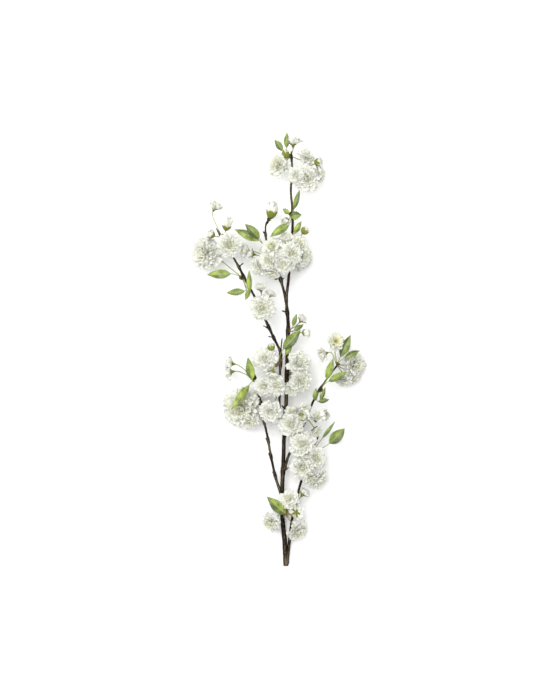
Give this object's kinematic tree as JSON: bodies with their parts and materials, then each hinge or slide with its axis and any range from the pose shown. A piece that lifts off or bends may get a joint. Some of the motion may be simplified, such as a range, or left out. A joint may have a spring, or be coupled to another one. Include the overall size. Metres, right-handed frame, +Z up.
{
  "type": "cherry blossom sprig",
  "caption": "Long cut sprig of double white cherry blossom lying down: a forked dark stem with clusters of ruffled flowers, buds and toothed leaves on green stalks.",
  "frame": {"origin": "middle of the sprig's footprint, on the level surface it lies on", "axes": "+Y from the cut end towards the tip, +Z up off the surface, +X to the right seen from above"},
  "size_m": [0.3972, 1.0009, 0.1136],
  "materials": {
    "bark": "matt, finely rough",
    "leaf": "soft satin",
    "petal": "soft matt, slightly translucent"
  },
  "bodies": {
    "root": {"ball_left_cups": "petal", "ball_left_head": "petal", "ball_left_stalks": "leaf", "ball_left_under": "petal", "ball_right_head": "petal", "ball_right_stalks": "leaf", "ball_right_under": "petal", "centre_head": "petal", "centre_stalks": "leaf", "crown_head": "petal", "crown_left": "petal", "crown_stalks": "leaf", "foot_cup": "petal", "foot_left": "petal", "foot_nodding": "petal", "foot_open": "petal", "foot_right": "petal", "foot_stalks": "leaf", "fork_bud_stalks": "leaf", "inner_high_nodding": "petal", "inner_high_open": "petal", "inner_high_stalks": "leaf", "inner_low_low": "petal", "inner_low_pair": "petal", "inner_low_stalks": "leaf", "low_right_head": "petal", "low_right_stalks": "leaf", "middle_head": "petal", "middle_stalks": "leaf", "neck_stalks": "leaf", "pendant_cup_left": "petal", "pendant_cup_right": "petal", "pendant_open": "petal", "pendant_stalks": "leaf", "puff_head": "petal", "puff_leaves_cups": "petal", "puff_leaves_stalks": "leaf", "puff_stalks": "leaf", "right_leaves_stalks": "leaf", "scatter_far_pair": "petal", "scatter_low_cup": "petal", "scatter_pair": "petal", "scatter_stalks": "leaf", "summit_high": "petal", "summit_stalks": "leaf", "summit_top": "petal", "tip_head": "petal", "tip_high": "petal", "tip_left": "petal", "tip_stalks": "leaf", "twin_cup": "petal", "twin_stalks": "leaf", "wing_cup": "petal", "wing_low_puff": "petal", "wing_low_stalks": "leaf", "wing_open": "petal", "wing_stalks": "leaf", "wood": "bark"}
  },
  "joints": []
}
